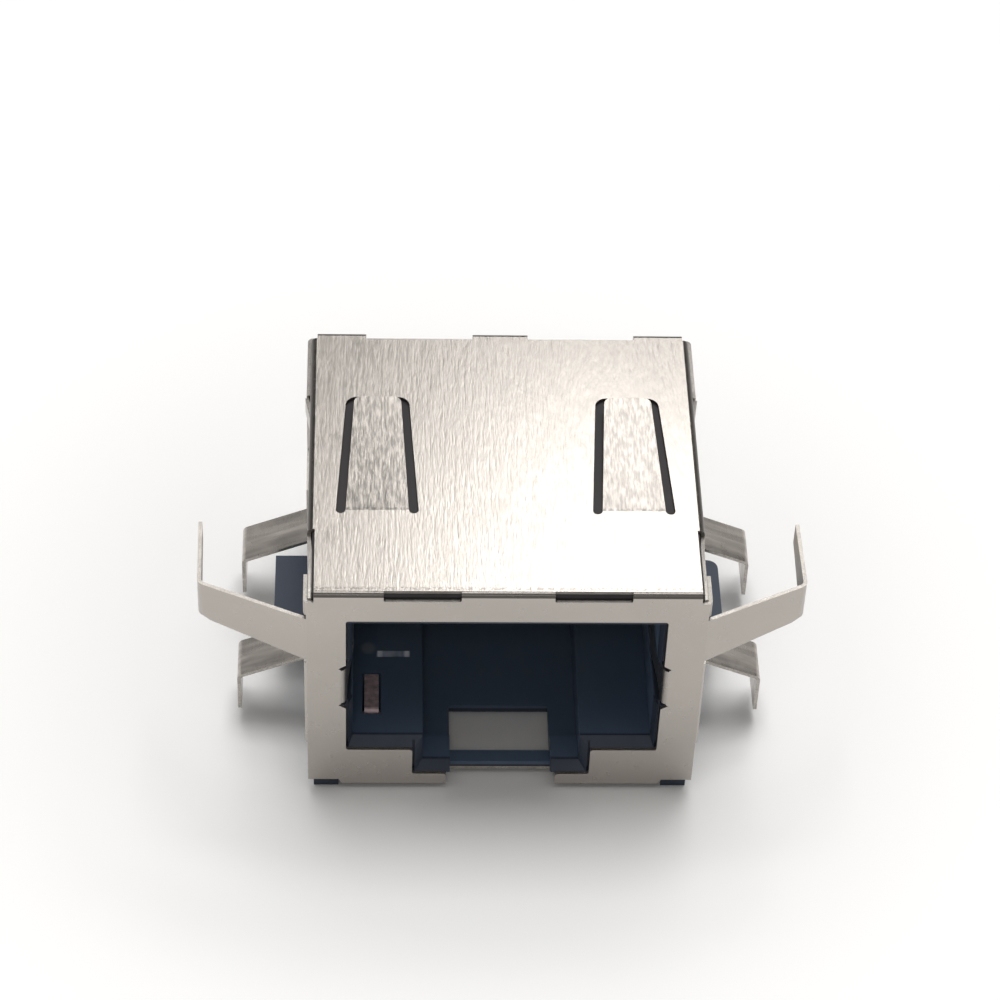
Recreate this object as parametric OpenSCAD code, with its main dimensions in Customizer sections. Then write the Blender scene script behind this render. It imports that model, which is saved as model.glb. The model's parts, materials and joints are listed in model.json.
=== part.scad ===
// Shielded eight-way modular jack for a cut-out in a circuit board, latch side down.
// X runs across the jack, Y from the plug side (front) to the back, Z up from its feet.
// The origin is under the middle of the jack, on the plane of the feet.

/* [Body] */
// Width over the side walls of the shield
body_w = 15.5; // [15.4:0.1:16.2]
// Depth over the front and back plates of the shield
body_d = 14.75; // [14.6:0.05:15.2]
// Height of the top plate over the feet
body_h = 11.45; // [11.3:0.05:12.5]
// Height of the feet below the shield
foot_h = 0.25; // [0.15:0.05:0.35]
// Height of the board's upper face over the feet
board_z = 2.3; // [2.2:0.05:2.4]

/* [Plug cavity] */
// Width of the cavity that takes the plug
cavity_w = 11.94; // [11.8:0.02:12]
// Height of the cavity's floor over the feet
cavity_floor = 2.65; // [2.6:0.05:2.7]
// Height of the cavity from floor to ceiling
cavity_h = 6.75; // [6.6:0.05:6.8]
// Depth of the cavity behind the shield's front face
cavity_d = 10.7; // [10.6:0.05:10.8]
// Width of the keyway that the plug's latch runs in
keyway_w = 6.3; // [6.2:0.05:6.4]
// Width of the slot that the latch's lever stands in
lever_w = 4.08; // [4:0.02:4.2]

/* [Shield] */
// Thickness of the sheet
sheet = 0.15; // [0.14:0.01:0.18]
// Radius of a fold along the middle of the sheet
fold_r = 0.15; // [0.14:0.01:0.2]
// Width of the opening in the front plate
mouth_w = 12.45; // [12.4:0.05:12.6]
// Reach of the side fingers from the middle of the jack
finger_reach = 11.88; // [11.5:0.01:12.2]
// Rise of the free end of a top finger over the top plate
finger_lift = 0.38; // [0.2:0.02:0.5]
// Reach of a solder leg from the middle of the jack
leg_reach = 10.67; // [10.4:0.01:10.9]
// Width of a solder leg
leg_w = 1.9; // [1.6:0.1:2]
// Height of a solder leg's end over the feet
leg_end = 0.7; // [0.4:0.05:1]

/* [Contacts] */
// Number of contacts
contacts = 8; // [8]
// Distance from one contact to the next
pitch = 1.02; // [1:0.01:1.04]
// Width of a contact
contact_w = 0.35; // [0.3:0.01:0.4]
// Thickness of a contact
contact_t = 0.25; // [0.2:0.01:0.26]
// Slope of the free springs, in degrees
spring_slope = 20; // [18:1:21]

/* [Hidden] */

$fn = 48;
eps = 0.01;                        // overlap of cutters past a face
half_w = body_w / 2;
inner_w = half_w - sheet;          // inner face of a side wall
inner_top = body_h - sheet;        // underside of the top plate
mid_top = body_h - sheet / 2;      // middle of the top plate's thickness
mid_front = sheet / 2;
mid_back = body_d - sheet / 2;
mid_side = half_w - sheet / 2;
fold_out = fold_r + sheet / 2;     // outer radius of a fold
shield_base = foot_h;              // underside of the bottom flap

// Front plate
mouth_top = 9.95;
mouth_floor = cavity_floor - 0.3;
step_half = keyway_w / 2 + 0.42;
step_floor = 0.87;
gap_half = lever_w / 2 + 0.16;     // half the gap between the plate's two tongues
mouth_r = 0.12;                    // corners of the opening
tongue_r = 0.16;                   // upper corners of the two tongues
slit_z = [5.05, 7.2];              // heights of the V slits beside a grounding spring
slit_half = 0.19;
slit_tip = 6.52;
flap_half = 6.4;
flap_end = 1.4;
flap_notch = 0.8;
foot_notch = [0.53, 0.12];         // top of the cut-away over a foot, and how far its side slopes
fold_slot_x = [1.79, 4.78];        // relief slots in the front fold
fold_slot = [0.23, 0.38];          // how far a relief slot runs into the top and the front
plate_corner = 11.0;               // top of the front plate beside the top plate
front_top_half = 7.45;             // half width of the top plate in front of the joggle
front_flanges = [[2.75, 7.5], [10.25, 11.0]];
front_flange_end = 1.5;
flange_gap = 0.02;

// Side walls
joggle_y = 3.5;                    // the wall's front part is cut free of the top plate here
front_wall_half = half_w - 0.06;   // outer face of that front part
front_wall_top = 11.1;
wall_foot = 3.7;                   // lower edge of the walls beside the board
leg_y = [3.65, 10.1];              // front edges of the solder legs
leg_root = 3.94;                   // upper face of a leg where it leaves the wall
leg_knee = 2.65;                   // upper face of a leg where it turns down
bead_y = 0.59;                     // crest of the stiffening bead behind the leg's front edge
bead_foot = [-0.39, 0.5];          // where its two slopes end
bead_rise = 0.09;
catch_y = [10.05, 11.3];           // root and free end of a locking catch
catch_z = [10.25, 11.0];
catch_angle = 9.5;

// Back plate
back_web = [[-7.5, -5.5], [-1.13, 1.13], [5.5, 7.5]];
back_relief = 0.38;                // how far the relief slots between the webs run in from the back
flange_y = [11.35, 9.0];           // front ends of the upper and lower side flanges
flange_z = [4.3, 8.0, 11.07];       // lower end, step and upper end of the side flanges

// Fingers
top_finger_x = 5.03;
top_finger_y = [4.55, 10.56];
top_finger_half = [1.24, 0.93];    // half width at the root and at the free end
top_slot_half = [1.62, 1.26];
top_slot_end = 10.9;
side_finger_z = [7.75, 10.06];     // lower and upper edge where a side finger starts
side_finger_out = [0.12, -0.12];   // set of the left and the right finger: more or less swept
side_finger_low = [8.3, 9.05];     // lower edge at the bend and at the free end
side_finger_bend_y = 1.95;
side_finger_end_y = 5.2;

// Grounding springs in the cavity
ground_z = [5.17, 7.08];
floor_spring_x = [-5.5, -4.92];
floor_spring_y = [1.8, 3.75];       // riser and free end
floor_spring_rise = 0.12;          // how far it stands over the cavity's floor
slot_room = 0.08;                  // room round it in the floor

// Housing
cavity_half = cavity_w / 2;
cavity_top = cavity_floor + cavity_h;
key_half = keyway_w / 2;
lever_half = lever_w / 2;
lip = 0.4;                         // depth of the lead-in round the cavity
rim_gap = [0.1, 0.25];             // width and depth of the gap between the rim and the plate's edge
latch_wall = 1.8;                  // back face of the wall that holds the latch
latch_wall_top = 1.17;
key_floor = 0.65;
bar_y = [0.85, 1.45];
window_end = 3.85;
sunk_d = 9.8;                      // how far the part below the board reaches back
sunk_half = 7.53;
fold_room = 0.1;                   // chamfer that clears the inside of a fold
foot_w = 1.0;
foot_l = 1.3;
wing_y = [6.2, 9.45];
left_wing_back = 9.6;
wing_top = 3.5;
wing_reach = 9.22;
comb_y = [cavity_d, cavity_d + 0.5];
comb_floor = 5.9;
recess_half = 4.35;                // half width of the contacts' recess in the ceiling
recess_y = 1.1;
carrier_y = comb_y[1];
carrier_half = 5.4;
tongue_half = 4.3;
tongue_z = [10.25, 10.9];
tongue_y = 2.0;

// Contacts
contact_z = (tongue_z[0] + tongue_z[1]) / 2;
tail_y = [11.95, 13.6];            // the two rows of tails
tail_end = 0.45;
spring_r = 0.42;
spring_y = tongue_y - 0.05;        // where a contact starts to turn back
spring_tip_y = comb_y[1] - 0.25;

// ---------- outlines ----------

function flat2(p) = [p[0], p[1]];
function unit(v) = v / norm(v);
function left_of(v) = [-v[1], v[0]];

// Points of one bend of a strip, on its left (side = 1) or right (side = -1)
function bend(p, v, q, r, side, t, n) =
    let (d1 = unit(v - p), d2 = unit(q - v),
         way = sign(cross(d1, d2)), turn = acos(d1 * d2),
         start = v - d1 * r * tan(turn / 2),
         centre = start + left_of(d1) * way * r,
         radius = r - way * side * t / 2,
         a0 = atan2((start - centre)[1], (start - centre)[0]))
    [for (i = [0 : n]) let (a = a0 + way * turn * i / n) centre + radius * [cos(a), sin(a)]];

function strip_side(path, side, t, n) =
    let (last = len(path) - 1, pts = [for (p = path) flat2(p)])
    concat([pts[0] + side * t / 2 * left_of(unit(pts[1] - pts[0]))],
           [for (i = [1 : 1 : last - 1])
                each bend(pts[i - 1], pts[i], pts[i + 1], path[i][2], side, t, n)],
           [pts[last] + side * t / 2 * left_of(unit(pts[last] - pts[last - 1]))]);

// Edge-on outline of a strip of sheet along a path of [x, y, bend radius]
function strip(path, t, n = 6) =
    let (right = strip_side(path, -1, t, n))
    concat(strip_side(path, 1, t, n), [for (i = [len(right) - 1 : -1 : 0]) right[i]]);

// Closed outline whose corners [x, y, r] are rounded where r is given
function rounded(corners, n = 5) =
    let (c = len(corners))
    [for (i = [0 : c - 1])
        let (p = flat2(corners[(i + c - 1) % c]), v = flat2(corners[i]),
             q = flat2(corners[(i + 1) % c]), r = corners[i][2])
        each (r == undef || r == 0 ? [v] : bend(p, v, q, r, 0, 0, n))];

// ---------- frames for extruding ----------

// Outline in X and Z, solid from Y = from to Y = to
module along_y(from, to) translate([0, to, 0]) rotate([90, 0, 0]) linear_extrude(to - from) children();

// Outline in Y and Z, solid from X = from to X = to
module along_x(from, to)
    translate([from, 0, 0]) rotate([90, 0, 90]) linear_extrude(to - from) children();

// Outline in X and Y, solid from Z = from to Z = to
module along_z(from, to) translate([0, 0, from]) linear_extrude(to - from) children();

module box(low, high) translate(low) cube(high - low);

module both_sides() {
    children();
    mirror([1, 0, 0]) children();
}

// Everything is drawn from the shield's front face and moved to the origin at the end
module placed() translate([0, -body_d / 2, 0]) children();

// ---------- shield ----------

// Opening for the plug, its latch and the lever, seen from the front
module mouth_outline() {
    half = mouth_w / 2;
    polygon(rounded([
        [-half, mouth_top, mouth_r], [half, mouth_top, mouth_r],
        [half, mouth_floor, mouth_r], [step_half, mouth_floor, mouth_r],
        [step_half, step_floor, mouth_r], [gap_half, step_floor, tongue_r],
        [gap_half, -1], [-gap_half, -1],
        [-gap_half, step_floor, tongue_r], [-step_half, step_floor, mouth_r],
        [-step_half, mouth_floor, mouth_r], [-half, mouth_floor, mouth_r]]));
    // The edge steps back where a grounding spring is folded in
    for (side = [-1, 1])
        polygon([for (p = [[half - 1, slit_z[0]], [half + 0.2, slit_z[0]],
                           [half + 0.2, slit_z[1]], [half - 1, slit_z[1]]]) [side * p[0], p[1]]]);
    for (side = [-1, 1], z = slit_z)
        polygon([for (p = [[half - 0.1, z - slit_half * 1.4], [slit_tip, z],
                           [half - 0.1, z + slit_half * 1.4]]) [side * p[0], p[1]]]);
}

// Cut-away of a lower corner of the front plate, over a foot
module foot_notch_outline() {
    polygon([[half_w + 1, -1], [half_w + 1, foot_notch[0]], [flap_half + foot_notch[1], foot_notch[0]],
             [flap_half, shield_base], [flap_half, -1]]);
}

// Bottom flap, front plate and the start of the top plate. The lower fold is pressed sharp.
module front_wrap() {
    difference() {
        along_x(-half_w, half_w) {
            polygon(strip([[mid_front, shield_base + 2 * sheet], [mid_front, mid_top, fold_r],
                           [joggle_y, mid_top]], sheet));
            polygon(rounded([[0, shield_base, 0.05], [flap_end, shield_base], [flap_end, shield_base + sheet],
                             [sheet, shield_base + sheet], [sheet, shield_base + 3 * sheet],
                             [0, shield_base + 3 * sheet]]));
        }
        along_y(-eps, sheet + 0.1) mouth_outline();
        // The notch for the lever runs on into the flap
        box([-gap_half, -1, -1], [gap_half, flap_notch, 1]);
        both_sides() along_y(-1, flap_end + 1) foot_notch_outline();
        for (side = [-1, 1]) {
            // Relief slots in the top fold
            slot_w = fold_slot_x[1] - fold_slot_x[0];
            s = side < 0 ? -fold_slot_x[1] : fold_slot_x[0];
            along_y(-1, fold_slot[0])
                polygon(rounded([[s, body_h - fold_slot[1], 0.1], [s + slot_w, body_h - fold_slot[1], 0.1],
                                 [s + slot_w, body_h + 1], [s, body_h + 1]]));
        }
        // The top plate is narrower than the front plate
        both_sides() box([front_top_half, -1, plate_corner], [half_w + 1, joggle_y + 1, body_h + 1]);
    }
}

// Top plate and both side walls, folded from one strip
module side_wrap() {
    difference() {
        along_y(joggle_y, body_d - back_relief)
            polygon(strip([[-mid_side, board_z], [-mid_side, mid_top, fold_r],
                           [mid_side, mid_top, fold_r], [mid_side, board_z]], sheet));
        // The walls end above the board
        box([-half_w - 1, joggle_y - 1, -1], [half_w + 1, leg_y[1] + leg_w + 0.3, wall_foot]);
        for (side = [-1, 1]) {
            translate([side * top_finger_x, 0, 0]) top_slot();
            x = side < 0 ? -half_w - 1 : inner_w - 0.5;
            box([x, catch_y[0], catch_z[0]], [x + 1.7, catch_y[1] + 0.05, catch_z[1]]);
        }
    }
}

// Front part of a side wall, cut free of the top plate and set in by a small joggle
module front_wall() {
    x = front_wall_half - sheet / 2;
    difference() {
        along_z(board_z, front_wall_top)
            polygon(strip([[x, sheet], [x, joggle_y - 0.9, 0.3], [mid_side, joggle_y - 0.2, 0.3],
                           [mid_side, joggle_y + 0.6]], sheet));
        // Its lower edge rises to meet the rest of the wall
        along_x(inner_w - 1, half_w + 1)
            polygon([[joggle_y, board_z - 1], [joggle_y, board_z], [joggle_y + 0.6, wall_foot],
                     [joggle_y + 1, wall_foot], [joggle_y + 1, board_z - 1]]);
    }
}

// Outline cut round a top finger
module top_slot() {
    root = top_finger_y[0];
    along_z(inner_top - 0.3, body_h + 0.3) {
        polygon(rounded([[-top_slot_half[0], root], [top_slot_half[0], root],
                         [top_slot_half[1], top_slot_end, 0.45], [-top_slot_half[1], top_slot_end, 0.45]]));
        slot_w = top_slot_half[0] - top_finger_half[0];
        for (side = [-1, 1]) translate([side * (top_slot_half[0] - slot_w / 2), root]) circle(d = slot_w);
    }
}

// Springy tongue of the top plate, rising towards the back
module top_finger() {
    root = top_finger_y[0];
    reach = top_finger_y[1] - root;
    rise = asin(finger_lift / reach);
    translate([0, root, inner_top]) rotate([rise, 0, 0])
        along_z(0, sheet)
            polygon(rounded([[-top_finger_half[0], -0.05], [top_finger_half[0], -0.05],
                             [top_finger_half[1], reach, 0.3], [-top_finger_half[1], reach, 0.3]]));
}

// Back plate with the flanges that wrap outside the side walls
module back_wrap() {
    flange_mid = half_w + sheet / 2;
    difference() {
        along_z(board_z, flange_z[2])
            polygon(strip([[-flange_mid, flange_y[1]], [-flange_mid, mid_back, fold_r],
                           [flange_mid, mid_back, fold_r], [flange_mid, flange_y[1]]], sheet));
        for (side = [-1, 1]) {
            x = side < 0 ? -half_w - 1 : half_w - sheet;
            // Above the step the flange is shorter
            box([x, 0, flange_z[1]], [x + 1 + sheet, flange_y[0], body_h]);
            // Below the flange the plate ends at the side walls
            box([x, 0, 0], [x + 1 + sheet, body_d + 1, flange_z[0]]);
        }
    }
    // Webs of the top fold, between its relief slots
    for (w = back_web) along_x(w[0], w[1])
        polygon(strip([[body_d - 1, mid_top], [mid_back, mid_top, fold_r], [mid_back, flange_z[2] - 0.2]], sheet));
}

// Locking catch pressed out of a side wall, its free end towards the back flange
module catch() {
    translate([inner_w, catch_y[0], 0]) rotate([0, 0, -catch_angle])
        box([0, -0.05, catch_z[0]], [sheet, catch_y[1] - catch_y[0], catch_z[1]]);
}

// Flange from the front plate round the front of a side wall
module front_flange(low, high) {
    x = front_wall_half + flange_gap + sheet / 2;
    along_z(low, high)
        polygon(strip([[half_w - 0.6, mid_front], [x, mid_front, fold_r], [x, front_flange_end]], sheet));
}

// Solder leg: a shoulder that slopes out from the wall, then a tail down through the board
module leg() {
    knee = leg_reach - sheet / 2;
    slope = (leg_root - leg_knee) / (leg_reach - half_w);
    path = [[mid_side, leg_root + 0.5], [mid_side, leg_root - sheet / 2 + slope * sheet / 2, 0.2],
            [knee, leg_knee - sheet / 2 + slope * sheet / 2, 0.22], [knee, leg_end]];
    along_y(0, leg_w) polygon(strip(path, sheet));
    // Low stiffening bead along the shoulder, which runs out before the knee
    run = (leg_reach - half_w) / cos(atan(slope)) - 0.15;
    translate([half_w, bead_y, leg_root]) rotate([0, atan(slope), 0])
        intersection() {
            along_x(0, run) polygon([[bead_foot[0], 0], [bead_foot[1], 0], [0, bead_rise]]);
            along_y(-1, 1) polygon([[-1, -1], [run + 0.4, -1], [run, 0], [run - 0.5, bead_rise], [-1, bead_rise]]);
        }
}

// Sprung side finger: swept out and back from the front plate, then straight back
module side_finger(out) {
    bend_x = finger_reach - sheet / 2 + out;
    root_x = half_w;
    path = [[root_x - 0.6, mid_front], [root_x, mid_front, 0.4],
            [bend_x, side_finger_bend_y, 0.3], [bend_x + out / 2, side_finger_end_y]];
    difference() {
        along_z(side_finger_z[0], side_finger_z[1]) polygon(strip(path, sheet));
        // The lower edge rises towards the bend
        along_y(-1, side_finger_end_y + 1)
            polygon([[root_x + 0.1, side_finger_z[0] - 1], [finger_reach + 1, side_finger_z[0] - 1],
                     [finger_reach + 1, side_finger_low[0]], [bend_x - 0.1, side_finger_low[0]],
                     [bend_x - 0.4, side_finger_low[0] - 0.14],
                     [root_x + 0.1, side_finger_z[0]]]);
        // and goes on rising to the free end
        along_x(bend_x - 0.5, finger_reach + 1)
            polygon([[side_finger_bend_y, side_finger_low[0] - 1], [side_finger_end_y + 1, side_finger_low[0] - 1],
                     [side_finger_end_y + 1, side_finger_low[1]], [side_finger_end_y, side_finger_low[1]],
                     [side_finger_bend_y, side_finger_low[0]]]);
    }
}

// Spring folded in from the edge of the opening, bowed towards the plug's shell
module ground_spring() {
    edge = mouth_w / 2 + 0.05;
    path = [[edge + 0.45, mid_front], [edge, mid_front, 0.2], [edge - 0.05, 1.2, 0.8],
            [cavity_half + 0.03, 3.1, 0.8], [cavity_half + 0.15, 4.7]];
    along_z(ground_z[0], ground_z[1]) polygon(strip(path, sheet));
}

// Spring that rises from the bottom flap through the housing's floor and lies along it
module floor_spring() {
    low = shield_base + sheet / 2;
    top = cavity_floor + floor_spring_rise - sheet / 2;
    path = [[flap_notch, low], [floor_spring_y[0], low, 0.12], [floor_spring_y[0], top, 0.12],
            [floor_spring_y[1], top - 0.1]];
    along_x(floor_spring_x[0], floor_spring_x[1]) polygon(strip(path, sheet));
}

module shield() {
    color([0.74, 0.72, 0.68]) placed() {
        front_wrap();
        side_wrap();
        back_wrap();
        both_sides() {
            front_wall();
            for (z = front_flanges) front_flange(z[0], z[1]);
            catch();
            ground_spring();
            translate([top_finger_x, 0, 0]) top_finger();
            for (y = leg_y) translate([0, y, 0]) leg();
        }
        mirror([1, 0, 0]) side_finger(side_finger_out[0]);
        side_finger(side_finger_out[1]);
        floor_spring();
    }
}

// ---------- housing ----------

// Sloped rim of a rectangular mouth: it narrows from the outer to the inner size over the lip,
// and a narrow gap stays between the rim and the plate on either side
module lead_in(half, low, high, wide, drop) {
    y = [sheet - 1, sheet, sheet + lip];
    rim = wide - rim_gap[0];
    intersection() {
        along_x(-wide - 1, wide + 1)
            polygon([[y[0], low - drop], [y[1], low - drop], [y[2], low],
                     [y[2], high], [y[1], high + drop], [y[0], high + drop]]);
        along_z(low - 1, high + 1)
            polygon([[-rim, y[0]], [-rim, y[1]], [-half, y[2]], [half, y[2]], [rim, y[1]], [rim, y[0]]]);
    }
    both_sides() box([rim, y[0], low - drop], [wide, y[1] + rim_gap[1], high + drop]);
}

// Outer block of the moulding, with its feet and the ledges that rest on the board
module housing_body() {
    half = inner_w;
    front = sheet;
    back = body_d - sheet;
    front_half = front_wall_half - sheet;
    // upper part, in front of and behind the joggle of the side walls
    box([-front_half, front, shield_base + sheet], [front_half, joggle_y, inner_top]);
    difference() {
        box([-half, joggle_y - 0.2, board_z], [half, back, inner_top]);
        for (side = [-1, 1]) {
            x = side < 0 ? -half - 1 : front_half;
            box([x, joggle_y - 1, 0], [x + 1 + half - front_half, joggle_y, body_h]);
            // room for the inside of the side folds
            along_y(0, body_d)
                polygon([[side * (half + eps), inner_top - fold_room], [side * (half + eps), inner_top + eps],
                         [side * (half - fold_room), inner_top + eps]]);
        }
    }
    // lower part, which hangs in the board's cut-out
    box([-sunk_half, flap_end + 0.05, shield_base], [sunk_half, sunk_d, board_z]);
    box([-sunk_half + 0.2, flap_end + 0.05, board_z - 0.1], [sunk_half - 0.2, sunk_d, board_z + 0.1]);
    // feet at the four corners
    both_sides() for (y = [sheet, sunk_d - foot_l])
        box([sunk_half - foot_w, y, 0], [sunk_half, y + foot_l, shield_base + 0.75]);
    // ledges over the board
    along_z(board_z, wing_top) {
        polygon([[-wing_reach, wing_y[0]], [-half + 0.5, wing_y[0]], [-half + 0.5, left_wing_back],
                 [-wing_reach, left_wing_back]]);
        polygon(rounded([[half - 0.5, wing_y[0]], [wing_reach, wing_y[0], 0.25], [wing_reach, wing_y[1], 0.45],
                         [half - 0.5, wing_y[1]]]));
    }
}

// Hollow parts of the moulding
module housing_cuts() {
    // room for the inside of the front and back folds
    for (y = [[sheet - eps, 1], [body_d - sheet + eps, -1]])
        along_x(-half_w, half_w)
            polygon([[y[0], inner_top - fold_room], [y[0], inner_top + eps], [y[0] + y[1] * fold_room, inner_top + eps]]);
    // plug cavity and keyway
    box([-cavity_half, sheet - 1, cavity_floor], [cavity_half, cavity_d, cavity_top]);
    box([-key_half, sheet - 1, latch_wall_top], [key_half, latch_wall + 0.1, cavity_floor + 0.1]);
    box([-key_half, latch_wall, key_floor], [key_half, sunk_d - 0.5, cavity_floor + 0.1]);
    lead_in(cavity_half, cavity_floor, cavity_top, mouth_w / 2, 0.3);
    lead_in(key_half, latch_wall_top, cavity_floor + 1, step_half, 0.3);
    // slot for the lever, as wide as the plate's gap below the lip, and the window behind the bar
    box([-lever_half, sheet - 1, -1], [lever_half, bar_y[0], cavity_floor]);
    box([-gap_half, sheet - 1, -1], [gap_half, sheet + lip, step_floor - 0.05]);
    box([-lever_half, bar_y[0] - 0.1, key_floor], [lever_half, latch_wall + 0.1, cavity_floor]);
    box([-lever_half, bar_y[1], -1], [lever_half, window_end, cavity_floor]);
    // recess in the ceiling for the contact springs
    box([-recess_half, recess_y, cavity_top - 0.1], [recess_half, cavity_d, tongue_z[0]]);
    // seat of the contact carrier, open to the back and below
    box([-recess_half, recess_y, tongue_z[0] - 0.1], [recess_half, carrier_y + 0.1, tongue_z[1]]);
    box([-carrier_half, carrier_y, board_z - 1], [carrier_half, body_d, tongue_z[1]]);
    // comb slots that hold the tips of the springs in line
    for (i = [0 : contacts - 1])
        box([contact_x(i) - contact_w / 2 - 0.08, comb_y[0] - 0.1, comb_floor],
            [contact_x(i) + contact_w / 2 + 0.08, comb_y[1] + 0.1, tongue_z[0]]);
    // pockets that the grounding springs bow into
    both_sides() box([cavity_half - 0.1, sheet - 1, ground_z[0] - 0.2], [cavity_half + 0.6, 5.2, ground_z[1] + 0.2]);
    // way for the spring from the bottom flap
    box([floor_spring_x[0] - slot_room, floor_spring_y[0] - sheet / 2 - slot_room, -1],
        [floor_spring_x[1] + slot_room, floor_spring_y[1] + slot_room, cavity_floor + 1]);
    box([floor_spring_x[0] - slot_room, sheet, -1],
        [floor_spring_x[1] + slot_room, floor_spring_y[0], shield_base + sheet + slot_room / 4]);
}

module housing() {
    color([0.1, 0.12, 0.16]) placed() {
        difference() {
            housing_body();
            housing_cuts();
        }
        // low pad on the cavity's floor, with a sloped front edge
        along_x(-5.0, -3.65)
            polygon([[4.75, cavity_floor - 0.1], [4.75, cavity_floor], [4.9, cavity_floor + 0.15],
                     [9.5, cavity_floor + 0.15], [9.5, cavity_floor - 0.1]]);
    }
}

// ---------- contacts ----------

function contact_x(i) = (i - (contacts - 1) / 2) * pitch;

// Side view of a contact: tail, back, run along the ceiling, nose and free spring
function contact_path(i) =
    let (y = tail_y[i % 2], run = spring_tip_y - spring_y,
         nose_drop = 2 * spring_r + 0.1)
    [[y, tail_end], [y, contact_z, 0.4], [spring_y - 0.6, contact_z, spring_r],
     [spring_y - 0.78, contact_z - nose_drop, spring_r],
     [spring_tip_y, contact_z - nose_drop - tan(spring_slope) * run]];

module contact(i) {
    color([0.86, 0.68, 0.3]) placed()
        along_x(contact_x(i) - contact_w / 2, contact_x(i) + contact_w / 2)
            polygon(strip(contact_path(i), contact_t, 8));
}

// L-shaped moulding that carries the contacts over the cavity and down its back
module contact_carrier() {
    color([0.13, 0.13, 0.14]) placed() difference() {
        union() {
            box([-tongue_half, tongue_y, tongue_z[0]], [tongue_half, carrier_y + 0.5, tongue_z[1]]);
            box([-carrier_half, carrier_y, board_z], [carrier_half, body_d - sheet, tongue_z[1]]);
        }
        for (i = [0 : contacts - 1])
            along_x(contact_x(i) - contact_w / 2, contact_x(i) + contact_w / 2)
                polygon(strip(contact_path(i), contact_t, 8));
    }
}

shield();
housing();
contact_carrier();
contact(0);  // contact_1
contact(1);  // contact_2
contact(2);  // contact_3
contact(3);  // contact_4
contact(4);  // contact_5
contact(5);  // contact_6
contact(6);  // contact_7
contact(7);  // contact_8
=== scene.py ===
# %% [markdown]
# # A shielded modular jack
#
# The jack is a dark plastic housing inside a folded shell of nickel-plated sheet, with eight sprung
# wires over its cavity. All of it was made as solids beforehand, at its real size, so this lesson is
# about finish: crisp edges that catch the light, brushed and satin nickel, moulded plastic, gold, and a
# white table under soft light.
#
# Every object is in metres. X runs across the jack, Y from its mouth to its back, and Z up from its feet.

# %% Load the jack
import json
import math

import bmesh
import bpy
from mathutils import Matrix, Vector

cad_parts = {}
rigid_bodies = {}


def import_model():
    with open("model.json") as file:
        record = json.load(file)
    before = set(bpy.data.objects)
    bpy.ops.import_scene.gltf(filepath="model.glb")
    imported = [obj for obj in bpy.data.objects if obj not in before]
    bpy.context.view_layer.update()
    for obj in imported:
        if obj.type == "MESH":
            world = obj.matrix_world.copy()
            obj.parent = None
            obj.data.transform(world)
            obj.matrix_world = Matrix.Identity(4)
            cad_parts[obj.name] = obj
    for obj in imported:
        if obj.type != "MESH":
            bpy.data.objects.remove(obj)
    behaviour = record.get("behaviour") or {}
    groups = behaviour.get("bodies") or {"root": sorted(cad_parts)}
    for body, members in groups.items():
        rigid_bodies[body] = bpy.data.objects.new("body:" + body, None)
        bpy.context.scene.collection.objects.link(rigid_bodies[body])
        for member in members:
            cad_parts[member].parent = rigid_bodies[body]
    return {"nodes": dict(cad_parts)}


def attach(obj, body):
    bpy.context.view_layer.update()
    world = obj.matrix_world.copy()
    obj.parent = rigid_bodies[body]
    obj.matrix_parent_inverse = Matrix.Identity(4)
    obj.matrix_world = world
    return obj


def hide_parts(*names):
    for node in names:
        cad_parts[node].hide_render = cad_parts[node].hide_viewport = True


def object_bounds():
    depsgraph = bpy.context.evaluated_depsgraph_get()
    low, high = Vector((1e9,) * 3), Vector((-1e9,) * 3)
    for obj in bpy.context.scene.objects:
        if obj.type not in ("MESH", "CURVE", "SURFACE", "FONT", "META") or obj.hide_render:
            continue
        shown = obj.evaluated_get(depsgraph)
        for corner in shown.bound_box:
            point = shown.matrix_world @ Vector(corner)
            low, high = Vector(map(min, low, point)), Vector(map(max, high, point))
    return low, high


MM = 0.001
for leftover in list(bpy.data.objects):
    bpy.data.objects.remove(leftover)
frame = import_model()
cad_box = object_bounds()
width, depth, height = ((cad_box[1] - cad_box[0]) / MM)[:]
print(f"{len(frame['nodes'])} pieces, {width:.2f} x {depth:.2f} x {height:.2f} mm")

# %% [markdown]
# ## The camera
#
# The jack is seen from the front and from above, by a long lens close by. A camera is easiest to think
# of as a place and three turns: a heading across the table, a dip below the horizon, and a slight roll.
# Turning a matrix step by step keeps those three apart, which a single set of Euler angles doesn't.

# %% Place the camera
CAMERA_AT = Vector((-5.36, -96.215, 107.27)) * MM
HEADING, DIP, ROLL = math.radians(3.13), math.radians(45.52), math.radians(2.54)

lens = bpy.data.cameras.new("camera")
lens.lens = 123.29
lens.sensor_width = 36
lens.clip_start = 1 * MM
camera = bpy.data.objects.new("camera", lens)
camera.matrix_world = (
    Matrix.Translation(CAMERA_AT)
    @ Matrix.Rotation(-HEADING, 4, "Z")
    @ Matrix.Rotation(math.pi / 2 - DIP, 4, "X")
    @ Matrix.Rotation(ROLL, 4, "Z")
)
bpy.context.scene.collection.objects.link(camera)
bpy.context.scene.camera = camera
bpy.context.scene.view_settings.view_transform = "Standard"
print(f"camera {CAMERA_AT.length / MM:.0f} mm from the jack")

# %% [markdown]
# ## Helpers for materials
#
# A finish is a small graph of nodes, and typed out in full even a small one is long. The first helpers
# start a material, add a node with its inputs wired up, and add a step of arithmetic. On top of them
# stand a few that make masks. A mask is a value that is 1 on one part of the piece and 0 elsewhere, so
# that one material can hold several finishes and pass smoothly from one to the next.


# %% Start a material and add nodes
def new_material(name):
    """An empty material with its shader, as (material, tree, shader)."""
    material = bpy.data.materials.new(name)
    material.use_nodes = True
    tree = material.node_tree
    return material, tree, tree.nodes["Principled BSDF"]


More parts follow.
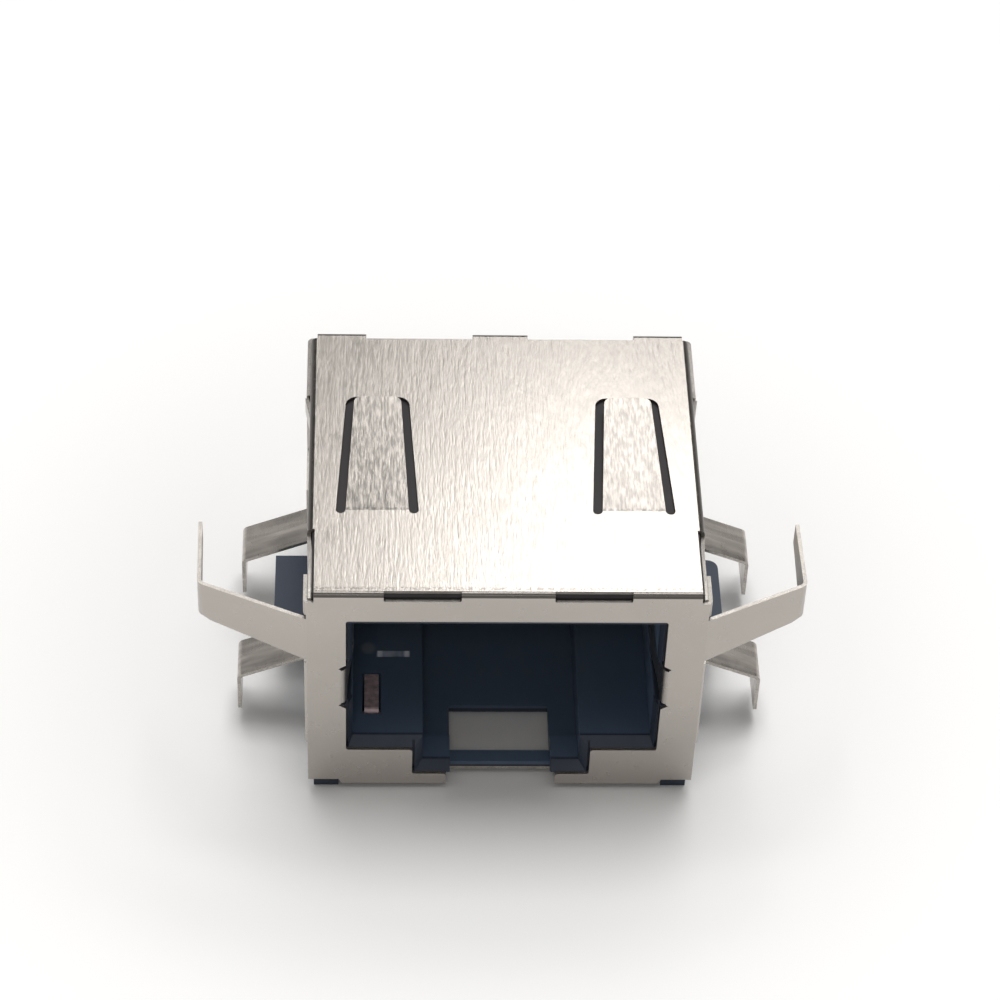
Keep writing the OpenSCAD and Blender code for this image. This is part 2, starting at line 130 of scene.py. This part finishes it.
def node(tree, kind, inputs=None, **settings):
    """Adds a node. An input is a plain value or another node's output."""
    made = tree.nodes.new(kind)
    for key, value in settings.items():
        setattr(made, key, value)
    for key, value in (inputs or {}).items():
        if isinstance(value, bpy.types.NodeSocket):
            tree.links.new(value, made.inputs[key])
        else:
            made.inputs[key].default_value = value
    return made


def place_on_piece(tree):
    """The place of a point on its piece, as a vector."""
    return node(tree, "ShaderNodeTexCoord").outputs["Object"]


def xyz(tree, vector):
    """The X, Y and Z of a vector."""
    return node(tree, "ShaderNodeSeparateXYZ", {0: vector}).outputs


def report(owner):
    """Prints how many nodes the graph of a material or a world holds so far."""
    print(f"{owner.name}: {len(owner.node_tree.nodes)} nodes")


# %% Do arithmetic
def math_step(tree, operation, a, b=0.0, c=0.0):
    """One step of arithmetic, as the output to use next."""
    made = node(tree, "ShaderNodeMath", {0: a, 1: b, 2: c}, operation=operation)
    return made.outputs[0]


def product(tree, value, *others):
    """Several values multiplied together."""
    for other in others:
        value = math_step(tree, "MULTIPLY", value, other)
    return value


def changed(tree, mask, change):
    """1, raised or lowered by a change where the mask is 1."""
    return math_step(tree, "MULTIPLY_ADD", mask, change, 1.0)


def between(tree, value, low, high, to_low=0.0, to_high=1.0):
    """Carries a value from one range to another, held at both ends."""
    made = node(
        tree,
        "ShaderNodeMapRange",
        {"Value": value, "From Min": low, "From Max": high, "To Min": to_low, "To Max": to_high},
    )
    return made.outputs[0]


def band(tree, value, middle, half, soft):
    """1 where a value lies within half of the middle, fading to 0 over soft."""
    away = math_step(tree, "ABSOLUTE", math_step(tree, "SUBTRACT", value, middle))
    return between(tree, away, half, half + soft, 1.0, 0.0)


# %% Make patterns and relief
def noise(tree, place, size, detail=2.0, roughness=0.5):
    """Cloudy noise whose blotches are about size metres wide along X, Y and Z."""
    scaled = node(tree, "ShaderNodeMapping", {"Vector": place, "Scale": [1 / s for s in size]})
    made = node(
        tree,
        "ShaderNodeTexNoise",
        {"Vector": scaled.outputs[0], "Scale": 1.0, "Detail": detail, "Roughness": roughness},
    )
    return made.outputs["Fac"]


def emboss(tree, shader, relief, strength, depth):
    """Bends the light on a surface as if it had this relief, depth metres deep."""
    bump = node(tree, "ShaderNodeBump", {"Strength": strength, "Distance": depth, "Height": relief})
    tree.links.new(bump.outputs[0], shader.inputs["Normal"])


# %% Lay on colour
def blended(tree, amount, first, second):
    """A colour on its way from the first to the second."""
    blend = node(
        tree,
        "ShaderNodeMix",
        {"Factor": amount, "A": (*first, 1), "B": (*second, 1)},
        data_type="RGBA",
    )
    return blend.outputs["Result"]


def painted(tree, under, mask, colour):
    """A colour laid over another where a mask is 1."""
    layer = node(
        tree, "ShaderNodeMix", {"Factor": mask, "A": under, "B": (*colour, 1)}, data_type="RGBA"
    )
    return layer.outputs["Result"]


def tinted(tree, shader, colour, shade):
    """Feeds the shader a colour made lighter and darker by a shade."""
    tint = node(
        tree,
        "ShaderNodeMix",
        {"Factor": 1.0, "A": (*colour, 1), "B": shade},
        data_type="RGBA",
        blend_type="MULTIPLY",
    )
    tree.links.new(tint.outputs["Result"], shader.inputs["Base Color"])


# %% [markdown]
# ## The white table
#
# The table is a pale sheet with a faint gloss. It is lit like everything else, so it keeps the jack's
# shadow. For the camera and for reflections a little of its own light is added away from the jack, to
# bring its far parts up to white. Rays that carry light from one dull surface to another don't see it,
# so it neither fills the shadow nor lights the plastic.

# %% Make the table
TABLE_SIZE = 1.6

table_mesh = bpy.data.meshes.new("table")
shape = bmesh.new()
bmesh.ops.create_grid(shape, x_segments=1, y_segments=1, size=TABLE_SIZE / 2)
shape.to_mesh(table_mesh)
shape.free()
table = bpy.data.objects.new("table", table_mesh)
bpy.context.scene.collection.objects.link(table)
print("table", TABLE_SIZE, "m across")

# %% Mix the table's white
SHADOW_REACH, WHITE_FROM = 15 * MM, 27 * MM

table_white, tree, shader = new_material("table_white")
shader.inputs["Base Color"].default_value = (0.93, 0.925, 0.92, 1)
shader.inputs["Roughness"].default_value = 0.28
shader.inputs["Specular IOR Level"].default_value = 0.35
ray = node(tree, "ShaderNodeLightPath").outputs
seen = math_step(tree, "MAXIMUM", ray["Is Camera Ray"], ray["Is Glossy Ray"])
seen = math_step(tree, "MAXIMUM", seen, ray["Is Transmission Ray"])
place = place_on_piece(tree)
away = node(tree, "ShaderNodeVectorMath", {0: place}, operation="LENGTH").outputs["Value"]
glow = product(tree, seen, between(tree, away, SHADOW_REACH, WHITE_FROM, 0.01, 0.14))
lift = node(tree, "ShaderNodeEmission", {"Color": (1, 1, 1, 1), "Strength": glow})
both = node(tree, "ShaderNodeAddShader", {0: shader.outputs[0], 1: lift.outputs[0]})
tree.links.new(both.outputs[0], tree.nodes["Material Output"].inputs["Surface"])
table_mesh.materials.append(table_white)
report(table_white)

# %% [markdown]
# ## Soft light
#
# Metal shows the room more than it shows the lamps. The room here is a sky that is bright overhead and
# behind the jack and dim around the camera, which is what makes the top plate bright, the front plate
# grey and the fold between them dark. Its walls are pale, but only where the metal mirrors them: a pale
# wall that lit the jack as well would wash its shadows out.

# %% Make the sky
world = bpy.data.worlds.new("soft_room")
bpy.context.scene.world = world
world.use_nodes = True
tree = world.node_tree
axis = xyz(tree, node(tree, "ShaderNodeTexCoord").outputs["Generated"])
sideways = math_step(tree, "ABSOLUTE", axis["X"])

upward = between(tree, axis["Z"], 0.50, 0.76, 0.22, 0.80)
upward = math_step(tree, "ADD", upward, between(tree, axis["Z"], 0.80, 1.0, 0.0, 1.3))
backward = between(tree, axis["Y"], -0.4, 0.2, 0.5, 1.0)
ahead = between(tree, sideways, 0.3, 0.8, 1.0, 0.55)
sky = product(tree, upward, backward, ahead)
report(world)

# %% Dim the sky around the camera
in_front = between(tree, axis["Y"], -0.3, -0.05, 1.0, 0.0)
blocked = product(tree, between(tree, sideways, 0.25, 0.55, 1.0, 0.0), in_front)
sky = product(tree, sky, changed(tree, blocked, -0.75))
report(world)

# %% Put up the pale walls
ray = node(tree, "ShaderNodeLightPath").outputs
low_walls = between(tree, axis["Z"], 0.35, 0.6, 0.7, 0.0)
front_wall = between(tree, axis["Y"], -0.3, 0.1, 0.5, 0.0)
walls = product(tree, math_step(tree, "MAXIMUM", low_walls, front_wall), ray["Is Glossy Ray"])
sky = math_step(tree, "MAXIMUM", sky, walls)
sky = node(tree, "ShaderNodeMix", {"Factor": ray["Is Camera Ray"], "A": sky, "B": 1.0})
background = tree.nodes["Background"]
tree.links.new(sky.outputs["Result"], background.inputs["Strength"])
background.inputs["Color"].default_value = (1.0, 0.99, 0.97, 1)
report(world)

# %% [markdown]
# ## The lamps
#
# Three soft lamps do the rest. A large one hangs almost straight over the jack and makes most of its
# shadow. A long window behind it on the right is mirrored in the brushed top plate, and the window's
# left edge makes the plate brighten from left to right. A weak lamp in front reaches into the cavity,
# which would otherwise be black.
#
# A lamp's power is worked out from how bright its face should look, because that is what metal mirrors.


# %% Hang the lamps
LAMP_DISTANCE = 0.6


def lamp(name, azimuth, elevation, size, radiance):
    """A lamp aimed at the jack; azimuth 0 is behind it and 90 on its right, size is (width, height)."""
    data = bpy.data.lights.new(name, "AREA")
    data.shape = "RECTANGLE"
    data.size, data.size_y = size
    data.energy = math.pi * size[0] * size[1] * radiance
    a, e = math.radians(azimuth), math.radians(elevation)
    outward = Vector((math.sin(a) * math.cos(e), math.cos(a) * math.cos(e), math.sin(e)))
    made = bpy.data.objects.new(name, data)
    made.location = outward * LAMP_DISTANCE
    made.rotation_mode = "QUATERNION"
    made.rotation_quaternion = outward.to_track_quat("Z", "Y")
    bpy.context.scene.collection.objects.link(made)
    print(f"{name}: {data.energy:.2f} W")


lamp("high_lamp", azimuth=2, elevation=76, size=(0.30, 0.26), radiance=5.8)
lamp("window", azimuth=23, elevation=50, size=(0.31, 0.10), radiance=2.8)
lamp("cavity_fill", azimuth=184, elevation=47, size=(0.12, 0.12), radiance=4.4)

# %% [markdown]
# ## Crisp edges
#
# Stamped sheet and moulded plastic never have perfectly sharp edges: a thin line of light runs along
# each of them. The solids have sharp edges, so a copy of a solid is cleaned of the flat triangles it
# came with and given a very small bevel. Weighted normals then keep the flat faces flat while the
# bevels and the folds shade smoothly.
#
# Where sheet metal is stamped, its edge shows the bare shear through the sheet: duller than the plated
# face and scratched across. Such a face is easy to tell apart, because it is no wider than the sheet is
# thick and meets both of its neighbours at a right angle. It gets the second material slot, the bevels
# get the third, and the small spring in the cavity's floor gets the last.


# %% Sort the faces of the sheet metal
SHEET = 0.15 * MM
LONG_EDGE = 0.2 * MM
CORNER_FROM = math.radians(55)
STRIP_X, STRIP_Z = (-5.6 * MM, -4.8 * MM), (2.4 * MM, 2.9 * MM)
FACE, CUT, ROLLED, STRIP = 0, 1, 2, 3


def is_cut_edge(face):
    """True for a narrow face whose long sides are both sharp."""
    across = 2 * face.calc_area() / face.calc_perimeter()
    long_sides = [edge for edge in face.edges if edge.calc_length() > LONG_EDGE]
    return across < SHEET * 1.06 and all(e.calc_face_angle(0) > CORNER_FROM for e in long_sides)


def in_the_floor(spot):
    """True on the upper side of the spring that lies in the cavity's floor."""
    return STRIP_X[0] < spot.x < STRIP_X[1] and STRIP_Z[0] < spot.z < STRIP_Z[1]


def sort_faces(shape):
    """Gives each face of the sheet metal its material slot."""
    for face in shape.faces:
        face.material_index = CUT if is_cut_edge(face) else FACE
        if in_the_floor(face.calc_center_median()):
            face.material_index = STRIP


# %% Copy a solid with crisp edges
MERGE = 0.0005 * MM
FLAT = math.radians(0.5)
BEVEL_FROM = math.radians(32)
SHARP_FROM = math.radians(60)


def cleaned(name, sheet_metal):
    """The mesh of a solid with its points merged and its flat triangles joined into faces."""
    shape = bmesh.new()
    shape.from_mesh(frame["nodes"][name].data)
    bmesh.ops.remove_doubles(shape, verts=shape.verts, dist=MERGE)
    bmesh.ops.dissolve_limit(shape, angle_limit=FLAT, verts=shape.verts, edges=shape.edges)
    if sheet_metal:
        sort_faces(shape)
    mesh = bpy.data.meshes.new(name + "_crisp")
    shape.to_mesh(mesh)
    shape.free()
    return mesh


def crisp_copy(name, bevel, sheet_metal=False):
    """A copy of a solid with a small bevel along its sharp edges, which then stands for it."""
    mesh = cleaned(name, sheet_metal)
    mesh.shade_smooth()
    mesh.set_sharp_from_angle(angle=SHARP_FROM)
    piece = bpy.data.objects.new(name + "_crisp", mesh)
    bpy.context.scene.collection.objects.link(piece)
    edge = piece.modifiers.new("bevel", "BEVEL")
    edge.width = bevel
    edge.segments = 2
    edge.limit_method = "ANGLE"
    edge.angle_limit = BEVEL_FROM
    edge.use_clamp_overlap = True
    edge.harden_normals = False
    edge.material = ROLLED if sheet_metal else -1
    flat = piece.modifiers.new("flat_faces", "WEIGHTED_NORMAL")
    flat.keep_sharp = True
    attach(piece, "root")
    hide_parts(name)
    print(f"{name}: {len(mesh.polygons)} faces before its bevel")
    return piece


# %% [markdown]
# ## Nickel
#
# The sheet is steel with a thin coat of nickel, warm and a little yellow next to chrome. The top plate
# was brushed from front to back, so it carries fine streaks along Y. The other faces are satin, with
# only a faint mottle. One material does both: the way a face points decides how much of the streaks it
# gets, so a fold passes from one to the other by itself.

# %% Start the nickel
FRONT = cad_box[0].y

nickel, tree, shader = new_material("nickel")
shader.inputs["Metallic"].default_value = 1.0
place = place_on_piece(tree)
spot = xyz(tree, place)
sideways = math_step(tree, "ABSOLUTE", spot["X"])
facing = xyz(tree, node(tree, "ShaderNodeNewGeometry").outputs["True Normal"])["Z"]
on_top = between(tree, facing, 0.9, 0.98)
report(nickel)

# %% Brush the top plate
long_streaks = noise(tree, place, (0.16 * MM, 1.8 * MM, 0.3 * MM), detail=3, roughness=0.6)
short_streaks = noise(tree, place, (0.09 * MM, 0.5 * MM, 0.3 * MM))
streaks = math_step(tree, "MULTIPLY_ADD", short_streaks, 0.45, product(tree, long_streaks, 0.55))
streaky = product(tree, between(tree, streaks, 0.35, 0.65, -1.0, 1.0), on_top)
report(nickel)

# %% [markdown]
# The press leaves its marks too: a line of dots where each finger of the top plate is bent, and a rubbed
# line close behind the front fold. The fingers get a painted shade that makes them darker than the plate.
# The fold round the top plate gets a painted shade of dull dark brown, and the solder legs were wiped
# along their length. Each of these is a mask made from a place or from the way a face points.

# %% Mark the bends and the rubbed line
BEND_Y, BEND_X, BEND_HALF = FRONT + 4.6 * MM, 5.03 * MM, 1.2 * MM
RUBBED_Y = FRONT + 0.36 * MM

bend_line = band(tree, spot["Y"], BEND_Y, 0.05 * MM, 0.05 * MM)
bend_line = product(tree, bend_line, band(tree, sideways, BEND_X, BEND_HALF, 0.05 * MM))
rubbed_line = band(tree, spot["Y"], RUBBED_Y, 0.04 * MM, 0.08 * MM)
speckle = noise(tree, place, (0.12 * MM, 0.12 * MM, 0.12 * MM))
marks = product(tree, math_step(tree, "ADD", bend_line, rubbed_line), on_top)
marks = product(tree, marks, between(tree, speckle, 0.42, 0.58))
report(nickel)

# %% Find the fingers, the fold and the legs
PLATE_EDGE = 11.0 * MM
LEG_TOP, LEG_START = 4.4 * MM, 8.15 * MM

# the fingers rise from the plate, so their faces tilt a little
on_finger = product(tree, on_top, between(tree, facing, 0.9985, 0.9995, 1.0, 0.0))
# painted shade: the fingers are darker than the plate, with some streaky variation
finger_shade_and_streaks = between(tree, short_streaks, 0.38, 0.62, -0.47, -0.23)
# painted shade: the fold round the top plate is darkened to a dull brown
# the fold faces neither up nor out, but every way between them
fold_shade = product(
    tree,
    band(tree, facing, 0.68, 0.313, 0.002),
    between(tree, spot["Z"], PLATE_EDGE - 0.05 * MM, PLATE_EDGE + 0.05 * MM),
)
on_leg = product(
    tree,
    between(tree, sideways, LEG_START - 0.15 * MM, LEG_START + 0.15 * MM),
    between(tree, spot["Z"], LEG_TOP - 0.1 * MM, LEG_TOP + 0.1 * MM, 1.0, 0.0),
)
wiped = noise(tree, place, (3.0 * MM, 0.30 * MM, 1.5 * MM))
wiped = product(tree, between(tree, wiped, 0.38, 0.62, -0.18, 0.14), on_leg)
report(nickel)

# %% Shade the nickel
clouds = noise(tree, place, (4 * MM, 6 * MM, 4 * MM))
strength = math_step(tree, "MULTIPLY_ADD", on_finger, 0.08, 0.06)
shade = product(
    tree,
    math_step(tree, "MULTIPLY_ADD", streaky, strength, 0.93),
    changed(tree, on_finger, finger_shade_and_streaks),
    changed(tree, fold_shade, -0.74),
    math_step(tree, "ADD", wiped, 1.0),
    # painted shade: every face but the top plate is a little darker
    math_step(tree, "MULTIPLY_ADD", on_top, 0.13, 0.87),
    between(tree, clouds, 0.3, 0.7, 0.96, 1.03),
    changed(tree, marks, -0.35),
)
tinted(tree, shader, (0.58, 0.54, 0.50), shade)
report(nickel)

# %% Give the nickel its gloss
mottle = noise(tree, place, (0.35 * MM, 0.5 * MM, 0.4 * MM))
rough = between(tree, mottle, 0.3, 0.7, 0.27, 0.32)
rough = math_step(tree, "MULTIPLY_ADD", on_top, -0.10, rough)
rough = math_step(tree, "MULTIPLY_ADD", streaky, 0.05, rough)
tree.links.new(rough, shader.inputs["Roughness"])
relief = math_step(tree, "MULTIPLY_ADD", mottle, 0.06, product(tree, streaks, on_top))
emboss(tree, shader, relief, strength=0.5, depth=0.012 * MM)
report(nickel)

# %% [markdown]
# ## The other faces of the sheet
#
# A cut edge is bare steel, scratched by the tool and patchy, and it is darkest round the top plate,
# where the fold shades it. The bevels along the edges are painted lighter than the faces beside them, a
# painted highlight along each edge. The small spring in the floor is painted a dull pink, a painted
# reflection.

# %% Mix the finish of the cut edges
sheared, tree, shader = new_material("sheared_edge")
shader.inputs["Metallic"].default_value = 1.0
place = place_on_piece(tree)
spot = xyz(tree, place)
scratches = noise(tree, place, (0.05 * MM, 0.05 * MM, 0.05 * MM), detail=3)
patches = noise(tree, place, (0.5 * MM, 0.5 * MM, 0.5 * MM))
shade = product(
    tree,
    between(tree, scratches, 0.3, 0.7, 0.7, 1.12),
    between(tree, patches, 0.3, 0.7, 0.85, 1.1),
    between(tree, spot["Z"], PLATE_EDGE - 0.05 * MM, PLATE_EDGE + 0.05 * MM, 1.0, 0.55),
)
tinted(tree, shader, (0.52, 0.49, 0.455), shade)
tree.links.new(between(tree, scratches, 0.3, 0.7, 0.5, 0.34), shader.inputs["Roughness"])
emboss(tree, shader, scratches, strength=0.4, depth=0.006 * MM)
report(sheared)

# %% Mix the painted highlight of the rolled-over corners
edge_highlight, tree, shader = new_material("rolled_corner_highlight")
shader.inputs["Metallic"].default_value = 1.0
place = place_on_piece(tree)
highlight_patches = noise(tree, place, (0.3 * MM, 0.3 * MM, 0.3 * MM), detail=3)
# painted highlight: the bevels are lighter than the nickel beside them
tinted(tree, shader, (0.72, 0.68, 0.63), between(tree, highlight_patches, 0.3, 0.7, 0.85, 1.05))
tree.links.new(between(tree, highlight_patches, 0.3, 0.7, 0.28, 0.4), shader.inputs["Roughness"])
report(edge_highlight)

# %% Mix the painted reflection on the spring in the floor
spring_reflection, tree, shader = new_material("spring_painted_reflection")
shader.inputs["Metallic"].default_value = 0.4
place = place_on_piece(tree)
reflection_blotches = noise(tree, place, (0.25 * MM, 0.25 * MM, 0.25 * MM), detail=3)
# painted reflection: a dull pink on the spring, lighter than the dark cavity lets it be
tinted(tree, shader, (0.80, 0.62, 0.64), between(tree, reflection_blotches, 0.35, 0.65, 0.6, 1.0))
tree.links.new(between(tree, reflection_blotches, 0.3, 0.7, 0.5, 0.65), shader.inputs["Roughness"])
report(spring_reflection)

# %% Dress the shield
shield = crisp_copy("shield", 0.03 * MM, sheet_metal=True)
for finish in (nickel, sheared, edge_highlight, spring_reflection):
    shield.data.materials.append(finish)
cut = sum(face.material_index == CUT for face in shield.data.polygons)
print(cut, "cut edges")

# %% [markdown]
# ## Dark plastic
#
# The housing is one moulding in a blue-black plastic. Its faces come from a polished mould, so they
# have a soft gloss with a slight waviness. The faces inside the cavity are painted a lighter blue,
# painted light for the little light that reaches into the cavity.
#
# The waviness also mixes two darks that are nearly the same, so that no face is one flat colour.

# %% Start the plastic
moulded, tree, shader = new_material("moulded_plastic")
shader.inputs["Specular IOR Level"].default_value = 0.3
place = place_on_piece(tree)
spot = xyz(tree, place)
ripple = noise(tree, place, (0.5 * MM, 0.8 * MM, 0.5 * MM))
grain = noise(tree, place, (0.06 * MM, 0.06 * MM, 0.06 * MM))
tone = blended(tree, ripple, (0.038, 0.050, 0.078), (0.046, 0.060, 0.090))
tree.links.new(between(tree, ripple, 0.3, 0.7, 0.36, 0.46), shader.inputs["Roughness"])
emboss(tree, shader, grain, strength=0.25, depth=0.003 * MM)
report(moulded)

# %% Paint light into the cavity and shade into the gap under the plate
CAVITY_HALF, CAVITY_MIDDLE_Z, CAVITY_HALF_Z = 6.0 * MM, 5.1 * MM, 4.6 * MM
CAVITY_START = FRONT + 0.6 * MM
SEAM_HALF = 0.05 * MM

# painted light: the faces inside the cavity are a lighter blue
cavity_light = product(
    tree,
    band(tree, spot["X"], 0, CAVITY_HALF, SEAM_HALF),
    band(tree, spot["Z"], CAVITY_MIDDLE_Z, CAVITY_HALF_Z, SEAM_HALF),
    between(tree, spot["Y"], CAVITY_START, CAVITY_START + 0.1 * MM),
)
tone = painted(tree, tone, cavity_light, (0.115, 0.165, 0.255))
# painted shade: the plastic in the gap under the top plate is near black
shade_under_plate = between(tree, spot["Z"], PLATE_EDGE - 0.1 * MM, PLATE_EDGE)
tone = painted(tree, tone, shade_under_plate, (0.020, 0.017, 0.018))
report(moulded)

# %% [markdown]
# Two small things stand out on the cavity's floor: the round mark of the ejector pin that pushed the
# moulding out of its mould, and a low pad whose sloped front edge gets a painted highlight, brightest at
# its two ends.

# %% Paint the pin's mark and the highlight on the pad's edge
PIN = (-5.35 * MM, FRONT + 5.2 * MM, 2.65 * MM)
PAD_X, PAD_Y, PAD_Z = -4.33 * MM, FRONT + 4.82 * MM, 2.75 * MM

from_pin = node(tree, "ShaderNodeVectorMath", {0: place, 1: PIN}, operation="DISTANCE").outputs["Value"]
pin_mark = between(tree, from_pin, 0.2 * MM, 0.38 * MM, 0.35, 0.0)
tone = painted(tree, tone, pin_mark, (0.45, 0.46, 0.50))

from_middle = math_step(tree, "ABSOLUTE", math_step(tree, "SUBTRACT", spot["X"], PAD_X))
pad_ends = band(tree, from_middle, 0.56 * MM, 0.06 * MM, 0.1 * MM)
# painted highlight along the pad's sloped front edge, brightest at its two ends
painted_glint = math_step(tree, "MULTIPLY_ADD", pad_ends, 0.6, between(tree, ripple, 0.35, 0.6, 0.1, 0.4))
pad_edge_highlight = product(
    tree,
    band(tree, spot["X"], PAD_X, 0.62 * MM, 0.08 * MM),
    band(tree, spot["Y"], PAD_Y, 0.09 * MM, 0.02 * MM),
    band(tree, spot["Z"], PAD_Z, 0.1 * MM, 0.02 * MM),
    painted_glint,
)
tone = painted(tree, tone, pad_edge_highlight, (0.75, 0.80, 0.90))
tree.links.new(tone, shader.inputs["Base Color"])
report(moulded)

# %% Dress the housing
housing = crisp_copy("housing", 0.04 * MM)
housing.data.materials.append(moulded)

# %% [markdown]
# ## The carrier and its wires
#
# The carrier is a second moulding, matt black. The wires are drawn spring wire with a thin gold plate,
# bright and warm. Noise that is stretched along the wire stands for the fine lines that the drawing die
# leaves in it.

# %% Finish the carrier
carrier_black, tree, shader = new_material("carrier_black")
shader.inputs["Base Color"].default_value = (0.016, 0.017, 0.019, 1)
place = place_on_piece(tree)
grain = noise(tree, place, (0.08 * MM, 0.08 * MM, 0.08 * MM))
tree.links.new(between(tree, grain, 0.3, 0.7, 0.5, 0.62), shader.inputs["Roughness"])
emboss(tree, shader, grain, strength=0.3, depth=0.004 * MM)
report(carrier_black)

carrier = crisp_copy("contact_carrier", 0.04 * MM)
carrier.data.materials.append(carrier_black)

# %% Mix the gold plate
gold, tree, shader = new_material("gold_plate")
shader.inputs["Metallic"].default_value = 1.0
place = place_on_piece(tree)
drawn = noise(tree, place, (0.02 * MM, 0.6 * MM, 0.3 * MM))
tone = blended(tree, drawn, (0.80, 0.56, 0.22), (0.90, 0.68, 0.32))
tree.links.new(tone, shader.inputs["Base Color"])
tree.links.new(between(tree, drawn, 0.3, 0.7, 0.18, 0.28), shader.inputs["Roughness"])
report(gold)

# %% Dress the wires
CONTACTS = 8

for number in range(1, CONTACTS + 1):
    wire = crisp_copy(f"contact_{number}", 0.02 * MM)
    wire.data.materials.append(gold)
